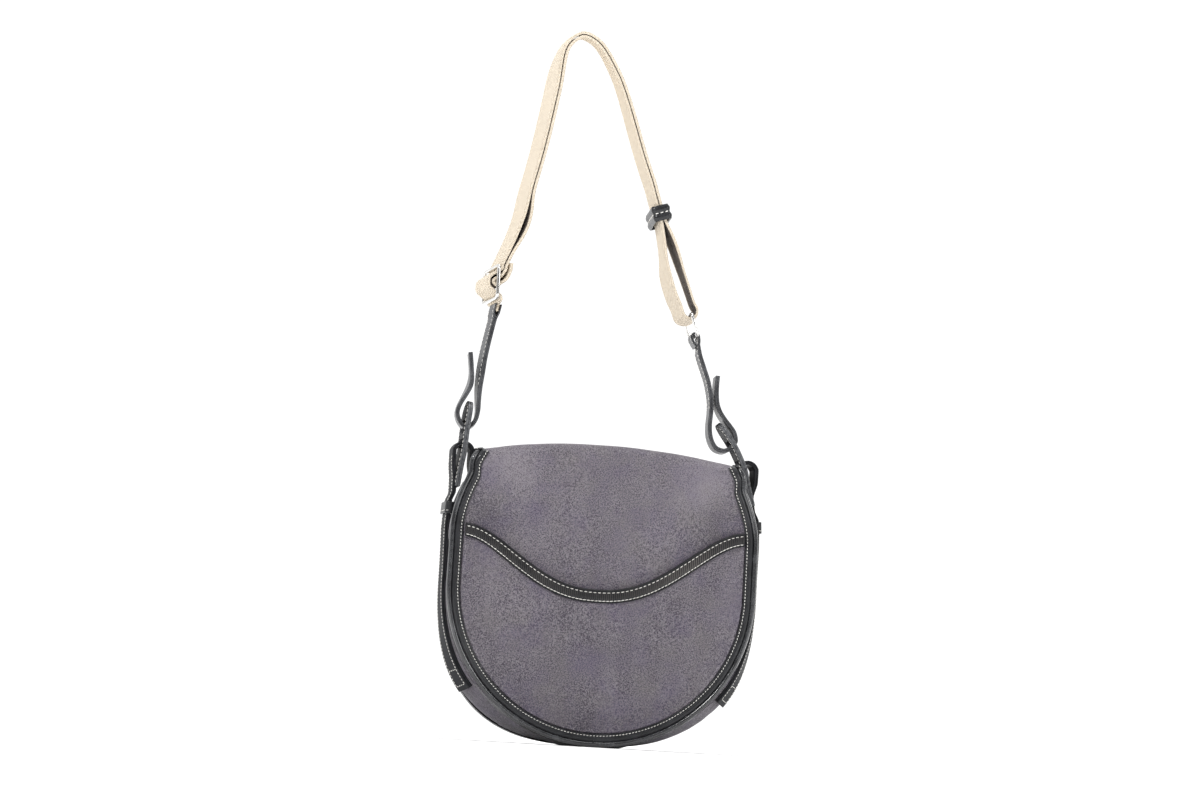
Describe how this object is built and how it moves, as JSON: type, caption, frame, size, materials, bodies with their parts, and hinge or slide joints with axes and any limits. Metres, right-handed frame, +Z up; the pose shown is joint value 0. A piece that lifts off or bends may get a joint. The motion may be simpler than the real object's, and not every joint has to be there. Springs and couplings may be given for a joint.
{
  "type": "shoulder bag",
  "caption": "Horseshoe-shaped suede shoulder bag with leather edging, a folded flap with a snap, a slip pocket on the back and an adjustable webbing shoulder strap.",
  "frame": {"origin": "on the ground under the middle of the bag's overall box", "axes": "+Z up along the strap, +X along the width with the slide at -X, -Y the back face with the slip pocket, +Y the front face with the flap"},
  "size_m": [0.2892, 0.0939, 0.6579],
  "materials": {
    "suede": "napped suede, greyish violet",
    "leather": "smooth black leather with painted edges",
    "cotton_webbing": "cream cotton twill webbing",
    "nickel": "polished nickel plate",
    "lining_cloth": "plain woven lining",
    "board": "fibreboard stiffener"
  },
  "bodies": {
    "bag_body": {"back_panel": "suede", "front_panel": "suede", "gusset": "suede", "pocket_panel": "suede", "lining": "lining_cloth", "bottom_board": "board", "pocket_trim": "leather", "mouth_trim": "leather", "back_binding": "leather", "back_piping": "leather", "back_rim_band": "leather", "front_binding": "leather", "front_piping": "leather", "front_rim_band": "leather", "side_strap_left": "leather", "side_strap_right": "leather", "side_keeper_left": "leather", "side_keeper_right": "leather", "hanger_tab_left": "leather", "hanger_tab_right": "leather", "roof_binding_left": "leather", "roof_binding_right": "leather", "snap_socket": "nickel"},
    "flap": {"flap_panel": "suede", "flap_binding": "leather", "snap_stud": "nickel"},
    "strap": {"strap_end_left": "leather", "strap_end_right": "leather", "webbing": "cotton_webbing", "slide": "nickel"},
    "ring": {"ring": "nickel"},
    "keeper": {"web_keeper": "leather"}
  },
  "joints": [
    {"name": "flap_hinge", "type": "hinge", "parent": "bag_body", "child": "flap", "pos_m": [0, 0.006, 0.2698], "axis": [1, 0, 0], "range_deg": [0, 90]},
    {"name": "strap_swing", "type": "hinge", "parent": "bag_body", "child": "strap", "pos_m": [0, -0.014, 0.2785], "axis": [1, 0, 0], "range_deg": [-14, 14]},
    {"name": "ring_turn", "type": "hinge", "parent": "strap", "child": "ring", "pos_m": [0.0745, -0.014, 0.3715], "axis": [0, 1, 0], "range_deg": [-5, 5]},
    {"name": "keeper_slide", "type": "slide", "parent": "strap", "child": "keeper", "axis": [-0.309, 0, 0.9511], "range_m": [0, 0.022]}
  ]
}
